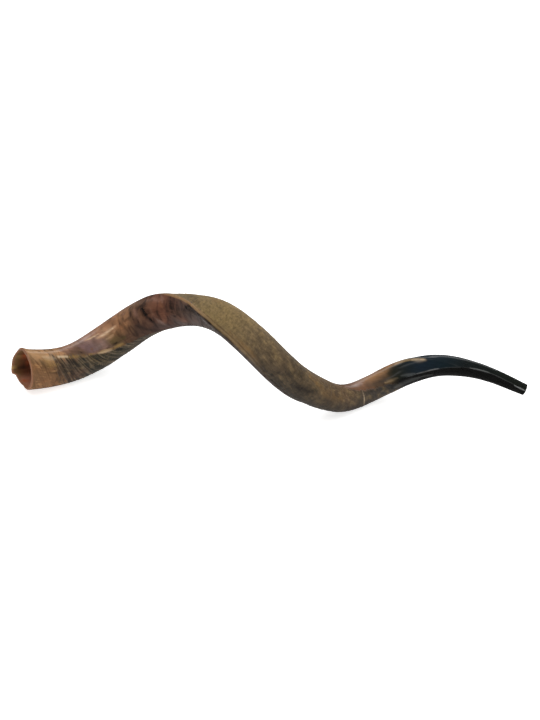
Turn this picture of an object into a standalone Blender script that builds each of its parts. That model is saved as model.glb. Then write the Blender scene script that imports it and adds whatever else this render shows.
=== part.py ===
"""A Yemenite shofar: a long kudu horn with an open corkscrew twist, hollow from bell to mouthpiece.

The horn is one piece. It is a loft of keeled sections set along a tapering coil, with its bell
at -X and its mouthpiece at +X, and it lies the way it rests on a flat surface. Lengths below are
millimetres and angles are degrees; the model is in metres with +Z up.
"""

import math

import bmesh
import bpy
from mathutils import Matrix, Vector

MM = 0.001
NAME = "yemenite_shofar"

# The coil, seen from in front with the bell on the left. Stations are evenly spaced along X, and
# each list holds one value per station, from the bell's edge to the mouthpiece's face.
LENGTH = 881.0
COIL_ANGLE = (295, 325, 364, 404, 439, 480, 529, 587, 656, 717, 784, 842, 913)
COIL_RADIUS = (70.5, 75.5, 81.5, 83.5, 82, 75.5, 67, 51, 44, 34, 29, 24, 21.5)
COIL_DEPTH = 1.33  # the coil is this much deeper, front to back, than it is tall
AXIS_DROP = 0.108  # fall of the coil's axis towards the mouthpiece, per length
AXIS_SWING = 0.037  # and its swing to the front, per length
AXIS_SAG = 8.7  # the axis hangs this much lower at mid length than at its ends
LEAN = 30.0  # how far the whole horn rolls back about its length to lie at rest
STATIONS = len(COIL_ANGLE) - 1

# The horn around that line
WIDTH = (77, 69, 71.5, 66, 57.5, 58.5, 55.5, 53, 48.5, 45.5, 39, 27.5, 20)
BORE_RADIUS = (34, 30, 31, 28.5, 24, 23, 22.5, 20.5, 17, 12.5, 7.5, 3.6, 3)
KEEL_LEAD = (60, 55, 58, 40, 54, 88, 88, 80, 81, 79, 79, 80, 81)  # ahead of the coil's outward side
KEEL_HEIGHT = (0.09, 0.10, 0.09, 0.13, 0.15, 0.17, 0.17, 0.17, 0.13, 0.10, 0.06, 0.02, 0)
RELIEF = (1.8, 1.2, 1, 1, 1, 1, 1, 1, 1, 0.9, 0.6, 0.2, 0)  # the other ridges and hollows fade to the tip
BACK_RIDGE = 147.0  # the second ridge, from the keel

# Heights are shares of the half width; spreads are the angle at which a form has all but gone
KEEL_SPREAD = 13.0
BACK_RIDGE_HEIGHT, BACK_RIDGE_SPREAD = 0.05, 22.0
FLUTE_DEPTH = 0.085  # the hollow face between the two ridges
FLUTE_MIDDLE, FLUTE_SPREAD = 66.0, 44.0
SHOULDER_HEIGHT, SHOULDER_ANGLE, SHOULDER_SPREAD = 0.035, -115.0, 34.0
FLAT_DEPTH, FLAT_ANGLE, FLAT_SPREAD = 0.05, -60.0, 26.0
BORE_FOLLOWS = 0.5  # the bore takes on this share of the outside's ridges

# Where the horn rests it is worn a little flat: the station and the reach of each place
REST_PLACES = ((0.65, 0.8), (8.15, 0.4))
REST_DEPTH, REST_SPREAD = 0.045, 40.0

# The two ends
BELL_SLANT = 7.0  # the edge is cut back by this much on one side
SLANT_ANGLE = -44.0  # that side, from the coil's outward side
SLANT_LENGTH = 60.0
CUP_RADIUS, CUP_DEPTH = 6.4, 16.0
CUP_STEPS = (1.0, 0.6, 0.25, 0.0)  # rings in the cup, as shares of its depth

RINGS = 80
POINTS = 30
KEEL_CROWDING = 0.45  # points crowd together near the keel
PROBE = 0.5  # half the distance over which the coil's direction is measured


def along(values, place):
    """The value at a place counted in stations: a smooth curve through the list, straight past it."""
    last = len(values) - 1
    within = min(max(place, 0.0), last)
    low = min(int(within), last - 1)
    high, t = low + 1, within - low
    before, after = max(low - 1, 0), min(high + 1, last)
    slope_low = (values[high] - values[before]) / (high - before)
    slope_high = (values[after] - values[low]) / (after - low)
    curve = (
        (1 + 2 * t) * (1 - t) ** 2 * values[low]
        + t * (1 - t) ** 2 * slope_low
        + t * t * (3 - 2 * t) * values[high]
        + t * t * (t - 1) * slope_high
    )
    return curve + (place - within) * (slope_low if place < within else slope_high)


def bump(away, spread):
    """A smooth hump of height 1, at a distance from its middle."""
    return math.exp(-((away / spread) ** 2))


def bump_around(angle, middle, spread):
    return bump((angle - middle + 180) % 360 - 180, spread)


def coil_point(x):
    """The middle of the horn at a distance along the coil's axis."""
    place = x * STATIONS / LENGTH
    angle = math.radians(along(COIL_ANGLE, place))
    radius = along(COIL_RADIUS, place)
    from_middle = x - LENGTH / 2
    rise = AXIS_SAG * (2 * from_middle / LENGTH) ** 2 - AXIS_DROP * from_middle
    depth = COIL_DEPTH * radius * math.cos(angle) - AXIS_SWING * from_middle
    return Vector((from_middle, depth, radius * math.sin(angle) + rise))


def section_axes(x):
    """The horn's direction, the coil's outward side, and the direction a quarter turn past it."""
    forward = (coil_point(x + PROBE) - coil_point(x - PROBE)).normalized()
    angle = math.radians(along(COIL_ANGLE, x * STATIONS / LENGTH))
    outward = Vector((0, math.cos(angle), math.sin(angle)))
    outward = (outward - outward.dot(forward) * forward).normalized()
    return forward, outward, forward.cross(outward)


def outline(angle, place):
    """The outside's distance from the middle, as a share of the half width, measured from the keel."""
    forms = (
        BACK_RIDGE_HEIGHT * bump_around(angle, BACK_RIDGE, BACK_RIDGE_SPREAD)
        - FLUTE_DEPTH * bump_around(angle, FLUTE_MIDDLE, FLUTE_SPREAD)
        + SHOULDER_HEIGHT * bump_around(angle, SHOULDER_ANGLE, SHOULDER_SPREAD)
        - FLAT_DEPTH * bump_around(angle, FLAT_ANGLE, FLAT_SPREAD)
    )
    worn = sum(bump(place - middle, reach) for middle, reach in REST_PLACES)
    worn *= REST_DEPTH * bump_around(angle, -along(KEEL_LEAD, place), REST_SPREAD)
    keel = along(KEEL_HEIGHT, place) * bump_around(angle, 0, KEEL_SPREAD)
    return 1 + keel + along(RELIEF, place) * forms - worn


def bore_radius(x):
    """The bore widens into a small cup at the mouthpiece."""
    into_cup = max(0.0, 1 - (LENGTH - x) / CUP_DEPTH)
    bore = along(BORE_RADIUS, x * STATIONS / LENGTH)
    return bore + (CUP_RADIUS - bore) * math.sqrt(into_cup)


def ring(x, inside):
    """One closed ring of points around the horn, on its outside or in its bore."""
    place = x * STATIONS / LENGTH
    middle = coil_point(x)
    forward, outward, sideways = section_axes(x)
    half_width = along(WIDTH, place) / 2
    slant = BELL_SLANT * max(0.0, 1 - x / SLANT_LENGTH) / half_width
    lead = along(KEEL_LEAD, place)
    points = []
    for i in range(POINTS):
        turn = i / POINTS
        angle = 360 * turn - math.degrees(KEEL_CROWDING * math.sin(math.tau * turn))
        share = outline(angle, place)
        reach = half_width * share
        if inside:
            reach = bore_radius(x) * (1 + BORE_FOLLOWS * (share - 1))
        direction = math.radians(lead + angle)
        offset = math.cos(direction) * outward + math.sin(direction) * sideways
        offset += slant * math.cos(direction - math.radians(SLANT_ANGLE)) * forward
        points.append(middle + reach * offset)
    return points


def ring_places():
    """Where the rings go: evenly, with a few more in the mouthpiece's cup."""
    cup = [LENGTH - CUP_DEPTH * share for share in CUP_STEPS]
    body = RINGS - len(cup)
    return [cup[0] * i / body for i in range(body)] + cup


def horn_material():
    material = bpy.data.materials.new("polished_and_natural_horn")
    material.use_nodes = True
    shader = material.node_tree.nodes["Principled BSDF"]
    shader.inputs["Base Color"].default_value = (0.165, 0.105, 0.058, 1)
    shader.inputs["Roughness"].default_value = 0.42
    shader.inputs["Metallic"].default_value = 0.0
    return material


def build_horn(collection):
    """Outside rings from bell to tip, then bore rings back again, joined into one closed wall."""
    places = ring_places()
    loops = [ring(x, inside=False) for x in places]
    loops += [ring(x, inside=True) for x in reversed(places)]

    lay_down = Matrix.Rotation(math.radians(-LEAN), 3, "X")
    loops = [[lay_down @ point for point in loop] for loop in loops]
    everything = [point for loop in loops for point in loop]
    low = Vector(min(p[axis] for p in everything) for axis in range(3))
    high = Vector(max(p[axis] for p in everything) for axis in range(3))
    base = Vector(((low.x + high.x) / 2, (low.y + high.y) / 2, low.z))

    mesh = bmesh.new()
    rows = [[mesh.verts.new((point - base) * MM) for point in loop] for loop in loops]
    for row, after in zip(rows, rows[1:] + rows[:1]):
        for i in range(POINTS):
            j = (i + 1) % POINTS
            mesh.faces.new((row[i], row[j], after[j], after[i]))
    bmesh.ops.recalc_face_normals(mesh, faces=mesh.faces)

    data = bpy.data.meshes.new("horn")
    mesh.to_mesh(data)
    mesh.free()
    data.materials.append(horn_material())
    data.polygons.foreach_set("use_smooth", [True] * len(data.polygons))
    horn = bpy.data.objects.new("horn", data)
    collection.objects.link(horn)


def main():
    for old in list(bpy.data.objects):
        bpy.data.objects.remove(old, do_unlink=True)
    collection = bpy.data.collections.new(NAME)
    bpy.context.scene.collection.children.link(collection)
    build_horn(collection)


main()
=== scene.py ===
import math
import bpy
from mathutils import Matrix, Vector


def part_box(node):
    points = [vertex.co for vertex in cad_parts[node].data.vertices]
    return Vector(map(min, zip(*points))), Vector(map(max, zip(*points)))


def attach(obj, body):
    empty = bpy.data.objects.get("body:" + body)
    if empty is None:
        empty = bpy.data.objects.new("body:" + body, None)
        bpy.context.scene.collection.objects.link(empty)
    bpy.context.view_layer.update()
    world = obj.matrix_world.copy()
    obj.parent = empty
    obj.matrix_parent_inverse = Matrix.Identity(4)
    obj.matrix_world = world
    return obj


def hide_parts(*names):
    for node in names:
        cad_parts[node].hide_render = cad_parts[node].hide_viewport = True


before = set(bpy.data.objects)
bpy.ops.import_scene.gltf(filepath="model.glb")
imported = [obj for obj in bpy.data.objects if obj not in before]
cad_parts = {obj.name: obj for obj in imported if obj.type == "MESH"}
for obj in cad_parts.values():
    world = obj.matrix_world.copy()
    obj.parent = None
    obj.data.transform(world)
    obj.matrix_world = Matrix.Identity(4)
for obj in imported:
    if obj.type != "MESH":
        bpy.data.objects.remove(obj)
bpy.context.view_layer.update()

from types import SimpleNamespace

import bmesh
import bpy
from mathutils import Matrix, Vector, noise

# A Yemenite shofar: one kudu horn. Its maker ground and polished the hollow face between the two
# ridges, a cuff round the bell and the whole tip, and left the rest as it grew.
# Lengths are millimetres until the mesh is laid down, and angles are degrees. An angle round the
# horn is counted from its keel.

MM = 0.001

# The coil, from the bell's edge to the mouthpiece: one value for each evenly spaced station
LENGTH = 881.0
COIL_ANGLE = (295, 325, 364, 404, 439, 480, 529, 587, 656, 717, 784, 842, 913)
COIL_RADIUS = (70.5, 75.5, 81.5, 83.5, 82, 75.5, 67, 51, 44, 34, 29, 24, 21.5)
COIL_DEPTH = 1.33  # the coil is this much deeper, front to back, than it is tall
AXIS_DROP, AXIS_SWING, AXIS_SAG = 0.108, 0.037, 8.7
LEAN = 30.0  # how far the whole horn rolls back about its length to lie at rest
STATIONS = len(COIL_ANGLE) - 1
PROBE = 0.5  # half the distance over which the coil's direction is measured

# The horn around it
WIDTH = (77, 69, 71.5, 66, 57.5, 58.5, 55.5, 53, 48.5, 45.5, 39, 27.5, 20)
BORE_RADIUS = (34, 30, 31, 28.5, 24, 23, 22.5, 20.5, 17, 12.5, 7.5, 3.6, 3)
BORE_FOLLOWS = 0.5  # the bore takes on this share of the outside's ridges
KEEL_LEAD = (60, 55, 58, 40, 54, 88, 88, 80, 81, 79, 79, 80, 81)
KEEL_HEIGHT = (0.09, 0.10, 0.09, 0.13, 0.15, 0.17, 0.17, 0.17, 0.13, 0.10, 0.06, 0.02, 0)
KEEL_SPREAD = 13.0
RELIEF = (1.8, 1.2, 1, 1, 1, 1, 1, 1, 1, 0.9, 0.6, 0.2, 0)
# Its other ridges and hollows: the height as a share of the half width, the angle of the middle, and
# the angle over which each fades
FORMS = (
    (0.05, 147, 22),  # back ridge
    (-0.085, 66, 44),  # hollow face between the two ridges
    (0.035, -115, 34),  # shoulder
    (-0.05, -60, 26),  # flat between the shoulder and the keel
)
REST_PLACES = ((0.65, 0.8), (8.15, 0.4))  # worn flat where it lies: the station and the reach
REST_DEPTH, REST_SPREAD = 0.045, 40
BELL_SLANT, SLANT_ANGLE, SLANT_LENGTH = 7.0, -44.0, 60.0
CUP_RADIUS, CUP_DEPTH = 6.4, 16.0

# Where the polish ends on either side of the face: an angle for each station
KEEL_EDGE = (5, 5, 5, 5, 0, 12, 17, 9, 5, 5, 5, 5, 5)  # past the keel
BACK_EDGE = (152, 152, 149, 158, 147, 147, 147, 152, 147, 133, 130, 130, 130)
# Where the cuff ends, and where the polish and the black of the tip start: an angle and the distance
# along the horn there
CUFF_EDGE = (
    (0, 50), (155, 44), (171, 41), (188, 45), (202, 50), (220, 54), (260, 64), (300, 60), (360, 50),
)
TIP_EDGE = ((0, 640), (110, 660), (150, 676), (200, 680), (300, 690), (360, 640))
BLACK_EDGE = (
    (0, 694), (5, 716), (10, 726), (15, 716), (20, 696), (26, 682), (34, 672), (50, 665), (75, 659),
    (95, 660), (110, 664), (125, 664), (150, 668), (200, 674), (300, 700), (350, 690), (360, 694),
)
# The polish ends raggedly, by this much and by so much more on the cuff, in teeth of this size. The
# cuff gives way to the face between these distances along the horn.
RAGGED, RAGGED_CUFF, TEETH = 1.5, 5.0, 8
CUFF_TO_FACE = (60, 105)

# Small relief. Lumps, roughness and the wrinkles' wander each have a height and a size.
LUMPS = ((0.5, 38), (0.2, 14))
ROUGHNESS, ROUGHNESS_SIZE = 0.3, 4.5
GROOVE_DEPTH, GROOVE_ANGLE, GROOVE_SPREAD = 0.5, 8, 4.0  # beside the keel, past the polish's edge
WRINKLE_SPACING, WRINKLE_LENGTH, WRINKLE_DEPTH = 4.4, 30, 0.4
WRINKLE_WANDER, WANDER_SIZE = 2.2, 22
DEEPEST_WRINKLES, DEEP_REACH = 1.8, 1.4  # in stations
WRINKLE_SLANT = (0.3, 0.5, 1.0, 0.9, 0.4, 0.15, 0.15, 0.1, 0.1, 0, 0, 0, 0)
# The bell's edge: how far it is cut back round the horn, or stands out where that is negative, and
# the flare of its flap
RIM_EDGE = (
    (0, -3.8), (40, -3.4), (85, -0.4), (114, -0.8), (130, -3.8), (150, -4.4), (175, -3.2), (245, -2.4),
    (280, -0.6), (290, 0), (300, 1.8), (351, 1.8), (355, -3.8), (360, -3.8),
)
RIM_EDGE_LENGTH = 14.0
RIM_FLARE, RIM_FLARE_ANGLE, RIM_FLARE_SPREAD = 2.0, 112.0, 34.0
# Both cut ends are rounded where the surface turns by more than this angle
RIM_ROUND, RIM_TURN = 0.8, 40
# The crease along the tip, where two flat faces left by the file meet
CREASE_ANGLE = (118,) * 10 + (57, -35, -90)
CREASE_HEIGHT, CREASE_SPREAD = 0.035, 10
CREASE_START = (9.0, 10.2)

# Spans that start across the first two values and end across the last two
GROOVE_SPAN = (3.7, 4.4, 6.6, 7.6)  # stations
RELIEF_SPAN = (0, 6, LENGTH - 8, LENGTH - 2)  # along the horn
BEAD_SPAN = (-4, -1.5, 4.5, 8)  # degrees past the polish's edge at the keel
SHADED_SPAN = (-7, 5, 150, 180)  # degrees past the crease
UNDERSIDE_SPAN = (150, 185, 328, 355)  # degrees from the keel
SHADE_BENEATH = (-0.6, 0.7)  # how far down a side faces, from no painted shade to full painted shade

# Marks on the horn, each drawn along a line: from (along, angle) to (along, angle), half its width, and how
# strongly it shows. Most were left by growth; some are painted highlights, and a few painted shadow.
MARKS = {
    "dark": (
        (226, 42, 245, 108, 5.5, 1.0), (236, 60, 242, 92, 9.0, 0.7), (205, 40, 213, 90, 3.0, 0.5),
        (214, 112, 232, 140, 3.5, 0.4), (186, 70, 195, 120, 3.5, 0.35), (256, 60, 262, 100, 4.0, 0.6),
        (270, 26, 274, 84, 3.0, 0.5), (282, 14, 289, 75, 6.0, 0.75), (295, 20, 300, 70, 5.0, 0.5),
        (315, 17, 333, 10, 6.5, 1.4), (270, 40, 286, 72, 8.0, 0.35), (140, 137, 174, 131, 2.3, 0.85),
        (147, 150, 153, 142, 1.6, 0.7), (78, 130, 92, 138, 3.6, 0.8), (6, 160, 17, 184, 1.6, 0.5),
        (16, 162, 26, 184, 2.0, 0.5), (28, 193, 58, 197, 1.5, 0.55), (12, 200, 20, 222, 1.6, 0.35),
        (33, 224, 35, 211, 1.1, 0.45), (40, 226, 43, 211, 1.3, 0.5), (47, 228, 50, 211, 1.3, 0.55),
        (54, 230, 57, 212, 1.5, 0.6), (480, 284, 500, 250, 8.0, 0.7), (428, 318, 476, 335, 9.0, 0.4),
        (470, 250, 478, 225, 5.0, 0.4), (466, 268, 486, 272, 6.0, 0.4), (520, 235, 545, 215, 7.0, 0.3),
        (456, 300, 470, 262, 3.0, 0.4), (492, 330, 512, 300, 6.0, 0.3), (244, 74, 280, 60, 7.0, 0.45),
        # the three thin lines from 328 along the keel are painted shadow below the bead
        (328, 10, 352, -1, 2.2, 1.0), (344, 362, 364, 355, 2.2, 0.9), (364, 355, 400, 351, 1.8, 0.6),
        (286, 52, 326, 28, 7.0, 0.4),
    ),
    "pale_marks_and_highlights": (
        # pale flecks, a hairline crack, and painted highlights: the cream spot on the tip and streaks on
        # the first coil
        (643, 121, 668, 104, 2.4, 0.12), (702, 12, 722, 10, 4.4, 0.42), (715, 10, 721, 10, 2.6, 0.75),
        (591, 148, 593, 215, 0.7, 0.5), (50, 147, 66, 147, 1.8, 0.75), (120, 146, 150, 145, 1.6, 0.5),
        (24, 152, 44, 152, 4.0, 0.3), (114, 93, 140, 84, 1.0, 0.7), (140, 97, 172, 87, 1.2, 0.55),
    ),
    "peach_and_highlights": (
        # mostly painted highlights streaking the polish of the first coil
        (111, 93, 142, 83, 2.0, 0.75), (134, 98, 176, 86, 4.5, 0.85), (142, 96, 166, 89, 2.0, 0.5),
        (150, 111, 166, 108, 3.4, 0.45), (148, 72, 172, 96, 8.0, 0.35),
    ),
    "lilac_highlight": (
        # mostly a painted highlight along the top of the second coil
        (560, 140, 600, 108, 4.0, 0.6), (580, 96, 640, 40, 5.0, 0.45), (255, 100, 262, 120, 4.0, 0.3),
    ),
    "rust": (
        (572, 142, 618, 136, 3.5, 0.35), (111, 133, 115, 128, 1.6, 0.8), (62, 128, 70, 112, 1.6, 0.6),
        (306, 9, 336, 8, 1.6, 0.7), (150, 62, 176, 50, 6.0, 0.4), (60, 220, 88, 198, 12.0, 0.45),
        (262, 30, 268, 50, 3.0, 0.5), (12, 214, 40, 222, 7.0, 0.35),
    ),
    "brown": ((345, 347, 400, 339, 1.2, 0.6), (400, 339, 445, 336, 1.2, 0.6)),
    "amber": (
        (390, 334, 436, 326, 6.0, 0.5), (408, 330, 432, 320, 4.0, 0.5), (340, 285, 356, 275, 7.0, 0.35),
        (486, 200, 512, 184, 4.0, 0.5), (515, 228, 545, 206, 8.0, 0.4), (490, 210, 526, 221, 4.0, 0.5),
    ),
    "mauve": ((94, 110, 110, 126, 7.0, 0.7), (128, 112, 148, 120, 5.0, 0.2)),
    "rosy_and_highlight": (
        # pink patches; the one from 574 is a painted highlight along the top
        (214, 50, 224, 94, 4.5, 0.5), (261, 10, 267, 32, 4.5, 0.65), (176, 50, 180, 56, 3.5, 0.6),
        (194, 52, 197, 56, 3.5, 0.6), (246, 18, 262, 30, 6.0, 0.5), (574, 114, 606, 90, 5.0, 0.6),
        (60, 120, 84, 112, 8.0, 0.35), (246, 60, 252, 96, 2.5, 0.3), (300, 92, 306, 84, 5.0, 0.3),
        (124, 112, 146, 118, 4.5, 0.35),
    ),
    "olive": (
        (154, 126, 184, 130, 4.0, 0.7), (655, 80, 668, 60, 5.0, 0.4), (120, 160, 150, 168, 9.0, 0.5),
        (16, 164, 34, 178, 5.0, 0.35), (70, 140, 92, 142, 3.0, 0.5),
    ),
    "ochre": (
        (26, 158, 42, 172, 6.0, 0.6), (50, 147, 98, 150, 2.8, 0.8), (104, 147, 172, 144, 3.0, 0.75),
        (643, 121, 668, 104, 3.4, 0.28),
    ),
    # Where the polish at the tip catches the light
    "glint": (
        (684, 102, 701, 91, 0.9, 0.22), (702, 90, 722, 72, 0.8, 0.45), (720, 74, 744, 44, 0.8, 0.6),
        (744, 44, 792, -18, 0.6, 0.1), (656, 150, 706, 112, 4.0, 0.14), (676, 95, 702, 86, 2.4, 0.16),
        (706, 112, 730, 94, 2.0, 0.1), (792, 342, 822, 309, 0.8, 0.5), (822, 309, 866, 282, 0.6, 0.14),
        (862, 290, 881, 277, 1.0, 0.7),
    ),
    # In the bell: a painted highlight by the edge, red-brown patches, and a painted shadow
    "straw_highlight": ((6, 54, 2, 34, 2.4, 0.8), (2, 18, 0, 8, 2.2, 0.6)),
    "ember": ((12, 62, 20, 30, 4.0, 0.75), (20, 30, 26, 6, 3.0, 0.7), (8, 326, 12, 314, 4.0, 1.0)),
    "painted_bore_shadow": ((9, 8, 17, 8, 6.0, 0.65),),
}
MARK_REACH = 3  # a mark has gone at this many half widths from its line

# What each point of the mesh tells the finish
NOTES = (
    "place", "across", "bead", "underside", "painted_shade_beneath", "polish", "tip", "shaded", "growth", "wrinkle",
    "inside", *MARKS,
)

# The mesh
OUTER_ROWS, BORE_ROWS, CUP_ROWS = 690, 120, 8
AROUND = 110
KEEL_CROWDING = 0.45  # points crowd together near the keel
SAME_POINT = 1e-4

# Colours of the marks, in the order in which they lie over each other
OUTER_MARKS = {
    "olive": "#54492c", "mauve": "#80635f", "rosy_and_highlight": "#96705f", "lilac_highlight": "#a08a80", "ochre": "#a58248",
    "amber": "#8e6a39", "brown": "#5c4427", "rust": "#85593c", "dark": "#1c1512", "peach_and_highlights": "#c99d78",
    "pale_marks_and_highlights": "#dcc19e",
}
GLINT = "#9a9c9a"
BORE_MARKS = {"painted_bore_shadow": "#171113", "ember": "#b85c30", "straw_highlight": "#c2a05e"}

# Colours along the horn, each at its share of the length
# Near 0.4 both runs turn grey, partly a painted reflection of the pale floor on the face under the keel
POLISHED_BY_KEEL = (
    (0.0, "#a8825b"), (0.06, "#a87c58"), (0.12, "#a58578"), (0.16, "#ab7e61"), (0.20, "#a67855"),
    (0.235, "#8d684c"), (0.27, "#704c3a"), (0.30, "#774d3b"), (0.34, "#5c4338"), (0.385, "#5a4f4b"),
    (0.42, "#615a55"), (0.55, "#504743"), (0.62, "#8f7c78"), (0.66, "#977c6a"), (0.70, "#9e7550"),
    (0.75, "#987350"), (0.775, "#8a7250"), (0.81, "#8b7859"),
)
POLISHED_BY_RIDGE = (
    (0.0, "#b99066"), (0.05, "#a9815a"), (0.08, "#8c6854"), (0.105, "#6c5242"), (0.125, "#785e5c"),
    (0.16, "#886c5f"), (0.185, "#745d40"), (0.21, "#5c4332"), (0.27, "#483630"), (0.33, "#574843"),
    (0.42, "#706a66"), (0.62, "#7c5d45"), (0.67, "#7a5b47"), (0.71, "#5a4838"), (0.75, "#35302a"),
)
NATURAL = (
    (0.05, "#644a34"), (0.075, "#49392a"), (0.10, "#38332a"), (0.14, "#3d3b2b"), (0.20, "#41392c"),
    (0.27, "#4c4032"), (0.35, "#857049"), (0.42, "#8c7448"), (0.47, "#7c6747"), (0.51, "#5a4934"),
    (0.54, "#5c4c36"), (0.58, "#69553a"), (0.63, "#6d5439"), (0.66, "#5a4a37"), (0.695, "#494139"),
    (0.73, "#33312e"), (0.76, "#242423"),
)
BEAD = ((0.36, "#ab855c"), (0.42, "#94784e"))
# the tip's black with a painted blue reflection over it, before the crease
TIP_BLUE_REFLECTION = (
    (0.76, "#25261f"), (0.785, "#20272a"), (0.81, "#1c2731"), (0.85, "#1a262c"), (0.89, "#191e1e"),
    (0.97, "#191c18"),
)
# The bore darkens further in as painted shade, and its lower side is painted lighter where light falls in
# from the bell
BORE_SHADED_ABOVE = (
    (0.0, "#96694c"), (0.003, "#7a5c38"), (0.008, "#73522e"), (0.014, "#6e4428"), (0.03, "#7a4630"),
    (0.08, "#332018"),
)
BORE_LIT_BELOW = (
    (0.0, "#96694c"), (0.008, "#b87f64"), (0.03, "#b57b60"), (0.06, "#855442"), (0.12, "#20130d"),
)

# How strongly these show along the horn
DARK_BANDS = ((0.03, 0.15), (0.18, 0.35), (0.235, 0.8), (0.33, 0.8), (0.45, 0.6), (0.68, 0.25))
DARK_SPECKLES = ((0.42, 0.35), (0.52, 1.0), (0.64, 1.0), (0.69, 0.3))
# painted shade on the sides that face down
LOWER_SHADE_ALONG = ((0.1, 0.15), (0.3, 0.2), (0.42, 0.45), (0.5, 0.62), (0.56, 0.8), (0.66, 0.8), (0.71, 0.15))
RUBBED_BEAD = ((0.28, 0.0), (0.32, 0.85), (0.37, 0.8), (0.42, 0.75), (0.47, 0.55), (0.51, 0.0))
DARK_WRINKLES = (
    (0.0, 0.0), (0.06, 0.8), (0.09, 0.6), (0.12, 0.6), (0.14, 0.9), (0.21, 0.9), (0.27, 0.4),
    (0.33, 0.12), (0.72, 0.1), (0.8, 0.0),
)

# Sizes of the patterns in the horn: across where there is one, and else round the horn and along it.
# Fibres and scrapes are really finer, and drawn this coarse so that they show.
CLOUDS, BLOTCHES, SPECKS, BORE_CLOUDS = 45, 14, 5, 20
SPECKLES, FIBRES, SCRAPES = (5, 13.333), (0.909, 30.3), (1.43, 25)
BANDS, LINES = (30, 13), (50, 3)  # growth bands, and growth lines between them
GROOVES_DEEP, SCRAPES_DEEP = 0.6, 0.4

KERATIN_IOR = 1.54

# The camera, fitted to the photo, looks down by as much as the horn leans
CAMERA_PLACE, LENS = (0.01142, -2.60566, 1.576986), 85.0


def along(values, place):
    """The value at a place counted in stations: a smooth curve through the list, straight past it."""
    last = len(values) - 1
    within = min(max(place, 0.0), last)
    low = min(int(within), last - 1)
    high, t = low + 1, within - low
    before, after = max(low - 1, 0), min(high + 1, last)
    slope_low = (values[high] - values[before]) / (high - before)
    slope_high = (values[after] - values[low]) / (after - low)
    curve = (
        (1 + 2 * t) * (1 - t) ** 2 * values[low]
        + t * (1 - t) ** 2 * slope_low
        + t * t * (3 - 2 * t) * values[high]
        + t * t * (t - 1) * slope_high
    )
    return curve + (place - within) * (slope_low if place < within else slope_high)


def around(pairs, angle):
    """The value at an angle from the keel, straight between the pairs given."""
    for (a0, v0), (a1, v1) in zip(pairs, pairs[1:]):
        if angle <= a1:
            return v0 + (v1 - v0) * (angle - a0) / (a1 - a0)
    return pairs[-1][1]


def rise(low, high, value):
    """0 up to one value and 1 past another, with a smooth step between."""
    t = min(max((value - low) / (high - low), 0.0), 1.0)
    return t * t * (3 - 2 * t)


def in_span(edges, value):
    """1 within a span and 0 outside it, with a smooth step across each end."""
    return rise(*edges[:2], value) * (1 - rise(*edges[2:], value))


def bump(away, spread):
    """A smooth hump of height 1, at a distance from its middle."""
    return math.exp(-((away / spread) ** 2))


def bump_around(angle, middle, spread):
    return bump((angle - middle + 180) % 360 - 180, spread)


def coil_point(x):
    """The middle of the horn at a distance along the coil's axis."""
    place = x * STATIONS / LENGTH
    angle = math.radians(along(COIL_ANGLE, place))
    radius = along(COIL_RADIUS, place)
    from_middle = x - LENGTH / 2
    height = AXIS_SAG * (2 * from_middle / LENGTH) ** 2 - AXIS_DROP * from_middle
    depth = COIL_DEPTH * radius * math.cos(angle) - AXIS_SWING * from_middle
    return Vector((from_middle, depth, radius * math.sin(angle) + height))


def section(x, inside, travelled):
    """What is the same all round the horn at one place."""
    place = x * STATIONS / LENGTH
    forward = (coil_point(x + PROBE) - coil_point(x - PROBE)).normalized()
    turn = math.radians(along(COIL_ANGLE, place))
    outward = Vector((0, math.cos(turn), math.sin(turn)))
    outward = (outward - outward.dot(forward) * forward).normalized()
    half_width = along(WIDTH, place) / 2
    bore = along(BORE_RADIUS, place)
    bore += (CUP_RADIUS - bore) * math.sqrt(max(0.0, 1 - (LENGTH - x) / CUP_DEPTH))
    return SimpleNamespace(
        x=x,
        place=place,
        inside=inside,
        travelled=travelled,
        middle=coil_point(x),
        forward=forward,
        outward=outward,
        sideways=forward.cross(outward),
        half_width=half_width,
        bore=bore,
        lead=along(KEEL_LEAD, place),
        degree=math.radians(1) * half_width,
        keel_edge=along(KEEL_EDGE, place),
        back_edge=along(BACK_EDGE, place),
        keel=along(KEEL_HEIGHT, place),
        relief=along(RELIEF, place),
        worn=REST_DEPTH * sum(bump(place - middle, reach) for middle, reach in REST_PLACES),
        slant=BELL_SLANT * max(0.0, 1 - x / SLANT_LENGTH) / half_width,
        groove=GROOVE_DEPTH * in_span(GROOVE_SPAN, place),
        wrinkle_slant=along(WRINKLE_SLANT, place),
        crease=along(CREASE_ANGLE, place),
        creased=rise(*CREASE_START, place),
        flare=RIM_FLARE * max(0.0, 1 - x / RIM_EDGE_LENGTH) ** 2,
        away_from_ends=in_span(RELIEF_SPAN, x),
        ragged=RAGGED + RAGGED_CUFF * (1 - rise(*CUFF_TO_FACE, x)),
    )


def outline(at, angle):
    """The outside's distance from the middle, as a share of the half width."""
    forms = sum(height * bump_around(angle, middle, spread) for height, middle, spread in FORMS)
    share = 1 + at.keel * bump_around(angle, 0, KEEL_SPREAD) + at.relief * forms
    share += CREASE_HEIGHT * at.creased * bump_around(angle, at.crease, CREASE_SPREAD)
    return share - at.worn * bump_around(angle, -at.lead, REST_SPREAD)


def polish_reach(at, angle):
    """How far inside the polished surface a point is, in millimetres; negative on natural horn."""
    across, width = (angle + at.keel_edge) % 360, at.back_edge + at.keel_edge
    face = min(across, width - across) if across < width else -min(across - width, 360 - across)
    return max(face * at.degree, around(CUFF_EDGE, angle) - at.x, at.x - around(TIP_EDGE, angle))


def growth_place(at, angle):
    """Millimetres along the horn, slanted the way its growth lines run on the natural side."""
    back = min(max(angle - at.back_edge, 0.0), 360 - angle)
    return at.travelled - at.wrinkle_slant * back * at.degree


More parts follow.
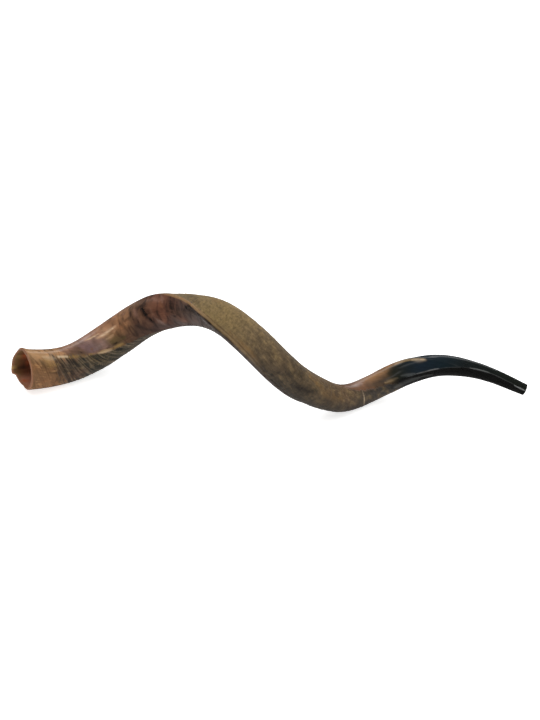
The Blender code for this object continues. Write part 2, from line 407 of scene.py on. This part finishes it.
def wrinkle(at, angle, straight):
    """The growth wrinkles, from about -1 in a groove to 1 on a crest."""
    wander = WRINKLE_WANDER * noise.noise(straight / WANDER_SIZE)
    line = (growth_place(at, angle) + wander) * 2 / WRINKLE_SPACING
    return 2 * noise.noise(Vector((line, straight.x / WRINKLE_LENGTH, straight.y / WRINKLE_LENGTH)))


def small_relief(at, angle, straight, natural, wrinkled):
    """Millimetres added to the surface. The polish has taken off half the lumps and all the rest."""
    lumps = sum(height * noise.noise(straight / size) for height, size in LUMPS)
    deep = WRINKLE_DEPTH * (0.35 + 0.65 * bump(at.place - DEEPEST_WRINKLES, DEEP_REACH))
    rough = ROUGHNESS * noise.noise(straight / ROUGHNESS_SIZE)
    groove = at.groove * bump_around(angle, -at.keel_edge - GROOVE_ANGLE, GROOVE_SPREAD)
    return lumps * (0.5 + 0.5 * natural) + natural * (deep * wrinkled + rough) - groove


def marked(at, angle, marks):
    """The strongest of these marks at this point. Each is half as wide at its ends."""
    found = 0.0
    for x0, a0, x1, a1, half_width, strength in marks:
        if not x0 - MARK_REACH * half_width < at.x < x1 + MARK_REACH * half_width:
            continue
        start = Vector((x0, a0 * at.degree))
        line = Vector((x1, a1 * at.degree)) - start
        offset = Vector((at.x, angle * at.degree)) - start
        t = min(max(offset.dot(line) / line.length_squared, 0.0), 1.0)
        taper = 0.35 + 0.65 * math.sin(math.pi * (0.08 + 0.84 * t))
        found = max(found, strength * bump((offset - t * line).length, half_width * taper))
    return found


def sections():
    """The sections in order: along the outside to the tip, back through the bore, and the first again."""
    outer = [LENGTH * i / (OUTER_ROWS - 1) for i in range(OUTER_ROWS)]
    cup = [LENGTH - CUP_DEPTH * (i / CUP_ROWS) ** 2 for i in range(CUP_ROWS + 1)]
    bore = [(LENGTH - CUP_DEPTH) * (1 - i / BORE_ROWS) for i in range(1, BORE_ROWS + 1)]
    found, travelled, before = [], 0.0, coil_point(0)
    for x, inside in [(x, False) for x in outer] + [(x, True) for x in cup + bore]:
        step = (coil_point(x) - before).length
        travelled += -step if inside else step
        before = coil_point(x)
        found.append(section(x, inside, travelled))
    return found + found[:1]


def place_vertex(vert, layers, at, angle):
    """Moves one grid point onto the horn and notes what the finish needs to know there."""
    turn = math.radians(angle)
    straight = Vector((at.half_width * math.cos(turn), at.half_width * math.sin(turn), at.travelled))
    share = outline(at, angle)
    wrinkled = wrinkle(at, angle, straight)
    polish = polish_reach(at, angle) + at.ragged * (noise.noise(straight / TEETH) + 0.5 * wrinkled)
    if at.inside:
        reach = at.bore * (1 + BORE_FOLLOWS * (share - 1))
    else:
        natural = 1 - rise(-at.ragged, at.ragged, polish)
        relief = small_relief(at, angle, straight, natural, wrinkled)
        reach = at.half_width * share + at.away_from_ends * relief
        reach += at.flare * bump_around(angle, RIM_FLARE_ANGLE, RIM_FLARE_SPREAD)
    direction = math.radians(at.lead + angle)
    facing = math.cos(direction) * at.outward + math.sin(direction) * at.sideways
    down = facing.y * math.sin(math.radians(LEAN)) - facing.z * math.cos(math.radians(LEAN))
    offset = facing + at.slant * math.cos(direction - math.radians(SLANT_ANGLE)) * at.forward
    cut_back = around(RIM_EDGE, angle) * max(0.0, 1 - at.x / RIM_EDGE_LENGTH)
    vert.co = at.middle + reach * offset + cut_back * at.forward

    past_edge = (angle + at.keel_edge + 180) % 360 - 180
    past_crease = (angle - at.crease + 180) % 360 - 180
    found = {
        "place": at.x / LENGTH,
        "across": min(angle, 360 - angle) / at.back_edge,
        "bead": in_span(BEAD_SPAN, past_edge),
        "painted_shade_beneath": rise(*SHADE_BENEATH, down),
        "underside": in_span(UNDERSIDE_SPAN, angle),
        "polish": polish,
        "tip": at.x - around(BLACK_EDGE, angle),
        "shaded": in_span(SHADED_SPAN, past_crease),
        "growth": growth_place(at, angle),
        "wrinkle": wrinkled,
        "inside": float(at.inside),
        **{name: marked(at, angle, marks) for name, marks in MARKS.items()},
    }
    for name, value in found.items():
        vert[layers[name]] = value
    vert[layers["straight"]] = straight * MM


def build_horn():
    """A grid wrapped round the coil and joined to itself, so that the wall is one closed skin."""
    order = sections()
    mesh = bmesh.new()
    mesh.loops.layers.uv.new("UVMap")
    for name in NOTES:
        mesh.verts.layers.float.new(name)
    mesh.verts.layers.float_vector.new("straight")
    layers = {name: mesh.verts.layers.float[name] for name in NOTES}
    layers["straight"] = mesh.verts.layers.float_vector["straight"]
    rows = len(order) - 1
    bmesh.ops.create_grid(mesh, x_segments=AROUND, y_segments=rows, size=0.5, calc_uvs=True)
    for vert in mesh.verts:
        turn = vert.co.x + 0.5
        angle = 360 * turn - math.degrees(KEEL_CROWDING * math.sin(math.tau * turn))
        place_vertex(vert, layers, order[round((vert.co.y + 0.5) * rows)], min(max(angle, 0.0), 360.0))

    bmesh.ops.remove_doubles(mesh, verts=mesh.verts, dist=SAME_POINT)
    rims = [
        edge
        for edge in mesh.edges
        if edge.is_manifold
        and edge.verts[0][layers["place"]] == edge.verts[1][layers["place"]]
        and edge.verts[0][layers["place"]] in (0.0, 1.0)
        and edge.calc_face_angle() > math.radians(RIM_TURN)
    ]
    bmesh.ops.bevel(
        mesh, geom=rims, offset=RIM_ROUND, segments=3, profile=0.5, affect="EDGES", material=-1
    )
    bmesh.ops.recalc_face_normals(mesh, faces=mesh.faces)
    for face in mesh.faces:
        face.material_index = int(all(vert[layers["inside"]] for vert in face.verts))

    # Laid down as it rests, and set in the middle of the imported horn's box
    bmesh.ops.rotate(mesh, verts=mesh.verts, matrix=Matrix.Rotation(math.radians(-LEAN), 3, "X"))
    bmesh.ops.scale(mesh, verts=mesh.verts, vec=(MM, MM, MM))
    low, high = (Vector(corner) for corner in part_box("horn"))
    own_low = Vector(min(vert.co[axis] for vert in mesh.verts) for axis in range(3))
    own_high = Vector(max(vert.co[axis] for vert in mesh.verts) for axis in range(3))
    shift = (low + high - own_low - own_high) / 2
    shift.z = low.z - own_low.z
    bmesh.ops.translate(mesh, verts=mesh.verts, vec=shift)

    data = bpy.data.meshes.new("horn_wall")
    mesh.to_mesh(data)
    mesh.free()
    data.polygons.foreach_set("use_smooth", [True] * len(data.polygons))
    horn = bpy.data.objects.new("horn_wall", data)
    bpy.context.scene.collection.objects.link(horn)
    return horn


def linear(code):
    """An sRGB hex colour as linear RGBA."""
    channels = [int(code[i : i + 2], 16) / 255 for i in (1, 3, 5)]
    return [c / 12.92 if c <= 0.04045 else ((c + 0.055) / 1.055) ** 2.4 for c in channels] + [1.0]


# A mix of colours: its kind, the output it gives, and its inputs for how much of one colour lies over
# the other
COLOUR_MIX = {"data_type": "RGBA", "out": 2}
SHARE, UNDER, OVER = 0, 6, 7


def add(tree, kind, inputs=None, stops=None, out=0, **settings):
    """Adds a node with its settings, colour stops and inputs, and gives back one of its outputs."""
    node = tree.nodes.new(kind)
    for name, value in settings.items():
        setattr(node, name, value)
    if stops:
        ramp = node.color_ramp
        for _ in stops[2:]:
            ramp.elements.new(1.0)
        for element, (position, colour) in zip(ramp.elements, stops):
            element.position = position
            element.color = linear(colour) if isinstance(colour, str) else (colour, colour, colour, 1)
    for name, value in (inputs or {}).items():
        if isinstance(value, bpy.types.NodeSocket):
            tree.links.new(value, node.inputs[name])
        else:
            node.inputs[name].default_value = linear(value) if isinstance(value, str) else value
    return node.outputs[out] if node.outputs else node


def new_material(name):
    material = bpy.data.materials.new(name)
    material.use_nodes = True
    material.node_tree.nodes.clear()
    return material, material.node_tree


def per_metre(size):
    """How often a pattern repeats in a metre, from its size round the horn and along it."""
    round_it, along_it = size
    return 1 / (round_it * MM), 1 / (round_it * MM), 1 / (along_it * MM)


def stained(tree, colour, stains):
    """A colour with stains over it. Each has a pattern, the values at which it starts and is full, its
    strength there, where on the horn it shows, and its own colour."""
    for pattern, start, full, strength, where, shown in stains:
        share = add(tree, "ShaderNodeMapRange", {
            "Value": pattern, "From Min": start, "From Max": full, "To Max": strength,
        })
        share = add(tree, "ShaderNodeMath", {0: share, 1: where}, operation="MULTIPLY")
        colour = add(tree, "ShaderNodeMix", {SHARE: share, UNDER: colour, OVER: shown}, **COLOUR_MIX)
    return colour


def patterns_of_growth(tree):
    """The notes on the mesh and the patterns in the horn that its colours follow."""
    note = {
        name: add(tree, "ShaderNodeAttribute", out="Fac", attribute_name=name)
        for name in NOTES
        if name != "inside" and name not in BORE_MARKS
    }
    straight = add(tree, "ShaderNodeAttribute", out="Vector", attribute_name="straight")

    clouds, blotches, specks = (
        add(tree, "ShaderNodeTexNoise", {
            "Vector": straight, "Scale": 1 / (size * MM), "Detail": detail, "Roughness": roughness,
        })
        for size, detail, roughness in ((CLOUDS, 2.0, 0.5), (BLOTCHES, 3.0, 0.5), (SPECKS, 4.0, 0.7))
    )
    speckles, fibres = (
        add(tree, "ShaderNodeTexNoise", {
            "Vector": add(tree, "ShaderNodeMapping", {"Vector": straight, "Scale": per_metre(size)}),
            "Scale": 1.0, "Detail": 3.0, "Roughness": roughness,
        })
        for size, roughness in ((SPECKLES, 0.7), (FIBRES, 0.5))
    )

    # Growth bands and lines follow the slant of the growth, which is noted in millimetres
    round_x = add(tree, "ShaderNodeSeparateXYZ", {0: straight}, out="X")
    round_y = add(tree, "ShaderNodeSeparateXYZ", {0: straight}, out="Y")
    growth = {}
    for name, (length, spacing), wander in (("bands", BANDS, 0.7), ("lines", LINES, 0.0)):
        place = add(tree, "ShaderNodeCombineXYZ", {
            key: add(tree, "ShaderNodeMath", {0: way, 1: often}, operation="MULTIPLY")
            for key, way, often in (
                (0, round_x, 1 / (length * MM)), (1, round_y, 1 / (length * MM)),
                (2, note["growth"], 1 / spacing),
            )
        })
        growth[name] = add(tree, "ShaderNodeTexNoise", {
            "Vector": place, "Scale": 1.0, "Detail": 2.0, "Distortion": wander,
        })

    # The place along the horn, wavering so that no colour ends on a straight line
    waver = add(tree, "ShaderNodeMath", {0: clouds, 1: 0.5}, operation="SUBTRACT")
    wavering = add(tree, "ShaderNodeMath", {0: waver, 1: 0.05, 2: note["place"]}, operation="MULTIPLY_ADD")
    return SimpleNamespace(
        note=note, clouds=clouds, blotches=blotches, speckles=speckles, specks=specks, fibres=fibres,
        waver=waver, wavering=wavering, **growth,
    )


def polished_colour(tree, grown):
    """The polished side: one run of colours beside the keel and one beside the back ridge."""
    note = grown.note
    by_keel = add(tree, "ShaderNodeValToRGB", {0: grown.wavering}, stops=POLISHED_BY_KEEL)
    by_ridge = add(tree, "ShaderNodeValToRGB", {0: grown.wavering}, stops=POLISHED_BY_RIDGE)
    sideways = add(tree, "ShaderNodeMath", {
        0: grown.waver, 1: 0.7, 2: note["across"],
    }, operation="MULTIPLY_ADD")
    to_ridge = add(tree, "ShaderNodeMapRange", {"Value": sideways, "From Min": 0.5, "From Max": 0.8})
    polished = add(tree, "ShaderNodeMix", {SHARE: to_ridge, UNDER: by_keel, OVER: by_ridge}, **COLOUR_MIX)

    # Near the bell it is browner on the side that isn't ground flat, with darker streaks where growth
    # lines show through, and flecks. Dark bands across are strongest on the first coil.
    near_bell = add(tree, "ShaderNodeMapRange", {
        "Value": note["place"], "From Min": 0.12, "From Max": 0.08,
    })
    browner = add(tree, "ShaderNodeMix", {
        SHARE: grown.lines, UNDER: "#5c4330", OVER: "#98704c",
    }, **COLOUR_MIX)
    banded = add(tree, "ShaderNodeValToRGB", {0: note["place"]}, stops=DARK_BANDS)
    polished = stained(tree, polished, (
        (near_bell, 0.0, 1.0, 1.0, note["underside"], browner),
        (grown.bands, 0.52, 0.66, 0.5, near_bell, "#5d4228"),
        (grown.speckles, 0.54, 0.70, 0.6, near_bell, "#c29565"),
        (grown.bands, 0.44, 0.68, 1.0, banded, "#2c1f1b"),
    ))

    # Lighter clear patches
    warm = add(tree, "ShaderNodeMix", {
        SHARE: 1.0, UNDER: polished, OVER: (1.6, 1.4, 1.25, 1),
    }, blend_type="MULTIPLY", **COLOUR_MIX)
    return stained(tree, polished, ((grown.blotches, 0.52, 0.72, 0.45, 1.0, warm),))


def natural_colour(tree, grown):
    """The natural side: olive, khaki and brown, mottled and flecked, with painted shade on the sides that
    face down.
    """
    note = grown.note
    natural = add(tree, "ShaderNodeValToRGB", {0: grown.wavering}, stops=NATURAL)
    speckled = add(tree, "ShaderNodeValToRGB", {0: note["place"]}, stops=DARK_SPECKLES)
    flecked = add(tree, "ShaderNodeMapRange", {
        "Value": note["place"], "From Min": 0.69, "From Max": 0.64, "To Min": 0.3,
    })
    natural = stained(tree, natural, (
        (grown.clouds, 0.52, 0.68, 0.5, 1.0, "#4a3c2c"),
        (grown.blotches, 0.50, 0.70, 0.4, 1.0, "#9a7f50"),
        (grown.speckles, 0.47, 0.32, 0.55, speckled, "#352c1f"),
        (grown.speckles, 0.53, 0.70, 0.5, flecked, "#9a8058"),
    ))
    mottle = add(tree, "ShaderNodeMapRange", {
        "Value": grown.specks, "From Min": 0.3, "From Max": 0.7, "To Min": 0.58, "To Max": 1.42,
    })
    natural = add(tree, "ShaderNodeMix", {
        SHARE: 1.0, UNDER: natural, OVER: mottle,
    }, blend_type="MULTIPLY", **COLOUR_MIX)

    # Painted shade darkens the sides that face down, most along the middle of the horn
    lower_shade = add(tree, "ShaderNodeValToRGB", {0: note["place"]}, stops=LOWER_SHADE_ALONG)
    lower_shade = add(tree, "ShaderNodeMath", {0: lower_shade, 1: note["painted_shade_beneath"]}, operation="MULTIPLY")
    return add(tree, "ShaderNodeMix", {SHARE: lower_shade, UNDER: natural, OVER: "#241f19"}, **COLOUR_MIX)


def ragged_polish(tree, grown):
    """How far inside the polish a point is, with its edge ragged along the growth lines, and how much
    of the polish shows there. On the cuff the teeth are longer and softer."""
    ragged = add(tree, "ShaderNodeMath", {
        0: grown.waver, 1: 9.0, 2: grown.note["polish"],
    }, operation="MULTIPLY_ADD")
    tooth = add(tree, "ShaderNodeMath", {0: grown.lines, 1: 0.5}, operation="SUBTRACT")
    teeth, blur = (
        add(tree, "ShaderNodeMapRange", {
            "Value": grown.note["place"], "From Min": 0.12, "From Max": cuff, "To Min": on_face,
            "To Max": on_cuff,
        })
        for cuff, on_face, on_cuff in ((0.09, 5.0, 28.0), (0.08, 2.0, 7.0))
    )
    ragged = add(tree, "ShaderNodeMath", {0: tooth, 1: teeth, 2: ragged}, operation="MULTIPLY_ADD")
    ragged = add(tree, "ShaderNodeMath", {0: ragged, 1: blur}, operation="DIVIDE")
    mask = add(tree, "ShaderNodeMapRange", {
        "Value": ragged, "From Min": -1.0, "From Max": 1.0,
    }, interpolation_type="SMOOTHSTEP")
    return ragged, mask


def add_marks(tree, grown, colour):
    """The keel bead, rubbed paler on the first coil, and the marks, some of them painted highlights and
    painted shadow, broken by the blotches and speckles."""
    note = grown.note
    rubbed = add(tree, "ShaderNodeValToRGB", {0: note["place"]}, stops=RUBBED_BEAD)
    bead = add(tree, "ShaderNodeMath", {0: note["bead"], 1: rubbed}, operation="MULTIPLY")
    bead_colour = add(tree, "ShaderNodeValToRGB", {0: note["place"]}, stops=BEAD)
    colour = add(tree, "ShaderNodeMix", {SHARE: bead, UNDER: colour, OVER: bead_colour}, **COLOUR_MIX)

    broken = add(tree, "ShaderNodeMath", {0: grown.blotches, 1: grown.speckles}, operation="ADD")
    broken = add(tree, "ShaderNodeMapRange", {
        "Value": broken, "From Min": 0.82, "From Max": 1.12, "To Min": 0.45, "To Max": 1.25,
    })
    for name, shown in OUTER_MARKS.items():
        share = add(tree, "ShaderNodeMath", {
            0: note[name], 1: broken,
        }, operation="MULTIPLY", use_clamp=True)
        colour = add(tree, "ShaderNodeMix", {SHARE: share, UNDER: colour, OVER: shown}, **COLOUR_MIX)
    return colour


def darken_wrinkles(tree, grown, colour, ragged):
    """Darker in the growth wrinkles of the natural side and paler on their crests, mostly near the bell."""
    note = grown.note
    grooved = add(tree, "ShaderNodeValToRGB", {0: note["place"]}, stops=DARK_WRINKLES)
    unpolished = add(tree, "ShaderNodeMapRange", {"Value": ragged, "From Min": 1.6, "From Max": -1.0})
    worn = add(tree, "ShaderNodeMapRange", {
        "Value": grown.blotches, "From Min": 0.38, "From Max": 0.58, "To Min": 0.45, "To Max": 1.15,
    })
    for share in (unpolished, worn):
        grooved = add(tree, "ShaderNodeMath", {0: grooved, 1: share}, operation="MULTIPLY")
    deep = add(tree, "ShaderNodeMapRange", {"Value": note["wrinkle"], "From Min": 0.05, "From Max": -0.4})
    fine = add(tree, "ShaderNodeMapRange", {
        "Value": grown.lines, "From Min": 0.48, "From Max": 0.64, "To Max": 0.4,
    })
    deep = add(tree, "ShaderNodeMath", {0: deep, 1: fine}, operation="MAXIMUM")
    return stained(tree, colour, (
        (deep, 0.0, 1.0, 1.0, grooved, "#211c16"),
        (note["wrinkle"], 0.15, 0.55, 1.0, grooved, "#6f604c"),
    ))


def add_tip(tree, grown, colour):
    """The black tip, with a painted blue reflection before the crease and jet past it. The cream marks,
    some of them painted highlights, show through it, and painted glints catch the light on it."""
    note = grown.note
    edge = add(tree, "ShaderNodeMath", {0: grown.waver, 1: 24.0, 2: note["tip"]}, operation="MULTIPLY_ADD")
    sooty, tipped = (
        add(tree, "ShaderNodeMapRange", {
            "Value": edge, "From Min": start, "From Max": full, "To Max": strength,
        }, interpolation_type="SMOOTHSTEP")
        for start, full, strength in ((-20.0, 0.0, 0.8), (-8.0, 8.0, 1.0))
    )
    # painted blue reflection over the black; jet past the crease
    clear = add(tree, "ShaderNodeValToRGB", {0: note["place"]}, stops=TIP_BLUE_REFLECTION)
    black = add(tree, "ShaderNodeMix", {SHARE: note["shaded"], UNDER: clear, OVER: "#141413"}, **COLOUR_MIX)
    blob = add(tree, "ShaderNodeMath", {0: note["pale_marks_and_highlights"], 1: 0.8}, operation="MULTIPLY")
    for share, shown in (
        (sooty, "#2e2a1f"), (tipped, black), (blob, OUTER_MARKS["pale_marks_and_highlights"]), (note["glint"], GLINT),
    ):
        colour = add(tree, "ShaderNodeMix", {SHARE: share, UNDER: colour, OVER: shown}, **COLOUR_MIX)
    return colour


def half_polished_horn():
    """Keratin laid down in growth rings, ground and buffed on one side. The polished side is clear enough
    to show deep colour and a sharp highlight, with painted highlights streaked over it; the natural side is
    dry, grooved and dull."""
    material, tree = new_material("half_polished_kudu_horn")
    grown = patterns_of_growth(tree)
    ragged, mask = ragged_polish(tree, grown)
    colour = add(tree, "ShaderNodeMix", {
        SHARE: mask, UNDER: natural_colour(tree, grown), OVER: polished_colour(tree, grown),
    }, **COLOUR_MIX)
    colour = add_marks(tree, grown, colour)
    colour = darken_wrinkles(tree, grown, colour, ragged)
    colour = add_tip(tree, grown, colour)

    # The sawn edge of the bell shows fresh horn
    colour = stained(tree, colour, ((grown.note["place"], 0.002, 0.0, 0.85, 1.0, "#ab765a"),))

    shade = add(tree, "ShaderNodeMapRange", {
        "Value": grown.fibres, "From Min": 0.3, "From Max": 0.7, "To Min": 0.86, "To Max": 1.12,
    })
    colour = add(tree, "ShaderNodeMix", {
        SHARE: 1.0, UNDER: colour, OVER: shade,
    }, blend_type="MULTIPLY", **COLOUR_MIX)

    dull = add(tree, "ShaderNodeMapRange", {"Value": grown.speckles, "To Min": 0.62, "To Max": 0.85})
    glossy = add(tree, "ShaderNodeMapRange", {"Value": grown.fibres, "To Min": 0.14, "To Max": 0.24})
    roughness = add(tree, "ShaderNodeMix", {"Factor": mask, "A": dull, "B": glossy})

    # Only the natural side is rough to the touch, with fine grooves and dry fibres
    height = add(tree, "ShaderNodeMath", {0: grown.lines, 1: grown.fibres}, operation="ADD")
    dry = add(tree, "ShaderNodeMapRange", {"Value": mask, "To Min": 1.0, "To Max": 0.05})
    height = add(tree, "ShaderNodeMath", {0: height, 1: dry}, operation="MULTIPLY")
    normal = add(tree, "ShaderNodeBump", {"Height": height, "Strength": 0.9, "Distance": GROOVES_DEEP * MM})

    shader = add(tree, "ShaderNodeBsdfPrincipled", {
        "Base Color": colour, "Roughness": roughness, "Normal": normal, "IOR": KERATIN_IOR,
        "Specular IOR Level": 0.4, "Sheen Weight": 0.12, "Sheen Roughness": 0.4,
    })
    add(tree, "ShaderNodeOutputMaterial", {"Surface": shader})
    return material


def scraped_horn_bore():
    """The inside, scraped out and left unpolished: warm brown at the bell, darkening further in as painted
    shade, and painted lighter on its lower side as a pool of light falling in.
    """
    material, tree = new_material("scraped_horn_bore")
    place = add(tree, "ShaderNodeAttribute", out="Fac", attribute_name="place")
    underside = add(tree, "ShaderNodeAttribute", out="Fac", attribute_name="underside")
    straight = add(tree, "ShaderNodeAttribute", out="Vector", attribute_name="straight")
    clouds = add(tree, "ShaderNodeTexNoise", {
        "Vector": straight, "Scale": 1 / (BORE_CLOUDS * MM), "Detail": 3.0,
    })
    waver = add(tree, "ShaderNodeMath", {0: clouds, 1: 0.5}, operation="SUBTRACT")
    wavering = add(tree, "ShaderNodeMath", {0: waver, 1: 0.012, 2: place}, operation="MULTIPLY_ADD")
    above = add(tree, "ShaderNodeValToRGB", {0: wavering}, stops=BORE_SHADED_ABOVE)
    below = add(tree, "ShaderNodeValToRGB", {0: wavering}, stops=BORE_LIT_BELOW)
    colour = add(tree, "ShaderNodeMix", {SHARE: underside, UNDER: above, OVER: below}, **COLOUR_MIX)
    for name, shown in BORE_MARKS.items():
        mark = add(tree, "ShaderNodeAttribute", out="Fac", attribute_name=name)
        colour = add(tree, "ShaderNodeMix", {SHARE: mark, UNDER: colour, OVER: shown}, **COLOUR_MIX)

    grain = add(tree, "ShaderNodeMapping", {"Vector": straight, "Scale": per_metre(SCRAPES)})
    scrapes = add(tree, "ShaderNodeTexNoise", {"Vector": grain, "Scale": 1.0, "Detail": 3.0})
    normal = add(tree, "ShaderNodeBump", {
        "Height": scrapes, "Strength": 0.5, "Distance": SCRAPES_DEEP * MM,
    })
    shader = add(tree, "ShaderNodeBsdfPrincipled", {
        "Base Color": colour, "Roughness": 0.6, "Normal": normal, "IOR": KERATIN_IOR,
        "Specular IOR Level": 0.3,
    })
    add(tree, "ShaderNodeOutputMaterial", {"Surface": shader})
    return material


def finish_horn(horn):
    """Two finishes, in the order of the faces' material numbers: outside, then bore."""
    horn.data.materials.append(half_polished_horn())
    horn.data.materials.append(scraped_horn_bore())


def white_board():
    """The floor: matt card that scatters light evenly, so it shows neither sheen nor grain."""
    mesh = bmesh.new()
    bmesh.ops.create_grid(mesh, x_segments=1, y_segments=1, size=30.0)
    data = bpy.data.meshes.new("floor")
    mesh.to_mesh(data)
    mesh.free()
    floor = bpy.data.objects.new("floor", data)
    bpy.context.scene.collection.objects.link(floor)
    material, tree = new_material("matt_white_board")
    shader = add(tree, "ShaderNodeBsdfPrincipled", {
        "Base Color": "#f0f0ef", "Roughness": 0.9, "Emission Color": "#ffffff", "Emission Strength": 0.75,
    })
    add(tree, "ShaderNodeOutputMaterial", {"Surface": shader})
    data.materials.append(material)

    # The polish would mirror the board's brightness from below, which dark horn in a room doesn't show
    floor.visible_glossy = False


def room_light():
    """A wide soft ceiling does the lighting. The polish mirrors only a panel and two strips."""
    sky = bpy.data.lights.new("ceiling", "SUN")
    sky.energy, sky.angle = 2.7, math.radians(110)
    ceiling = bpy.data.objects.new("ceiling", sky)
    ceiling.rotation_euler = Vector((0.1, 0.1, 1.0)).to_track_quat("Z", "Y").to_euler()
    ceiling.visible_glossy = False
    bpy.context.scene.collection.objects.link(ceiling)
    for name, place, width, height, power in (
        ("back_panel", (-0.3, 2.6, 1.5), 3.6, 0.9, 13.0),
        ("side_strip", (-1.5, 0.2, 1.6), 0.3, 1.0, 1.4),
        ("front_strip", (-0.35, -1.15, 1.7), 1.2, 0.3, 1.3),
    ):
        lamp = bpy.data.lights.new(name, "AREA")
        lamp.shape, lamp.size, lamp.size_y, lamp.energy = "RECTANGLE", width, height, power
        light = bpy.data.objects.new(name, lamp)
        light.location = place
        light.rotation_euler = Vector(place).to_track_quat("Z", "Y").to_euler()
        bpy.context.scene.collection.objects.link(light)

    # A dim room: darker below the board's level than above it
    world = bpy.data.worlds.new("dim_room")
    world.use_nodes = True
    tree = world.node_tree
    way = add(tree, "ShaderNodeTexCoord", out="Generated")
    height = add(tree, "ShaderNodeSeparateXYZ", {0: way}, out="Z")
    above = add(tree, "ShaderNodeMapRange", {
        "Value": height, "From Min": -0.25, "From Max": 0.35, "To Min": 0.07, "To Max": 0.3,
    })
    tree.links.new(above, tree.nodes["Background"].inputs["Strength"])
    bpy.context.scene.world = world


def studio():
    """The horn lies on a white board in a dim room, and the camera looks down at it."""
    white_board()
    room_light()
    bpy.context.scene.view_settings.view_transform = "Standard"
    lens = bpy.data.cameras.new("camera")
    lens.lens = LENS
    camera = bpy.data.objects.new("camera", lens)
    camera.location = CAMERA_PLACE
    camera.rotation_euler = (math.radians(90 - LEAN), 0, 0)
    bpy.context.scene.collection.objects.link(camera)
    bpy.context.scene.camera = camera


horn = build_horn()
finish_horn(horn)
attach(horn, "root")
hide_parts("horn")
studio()
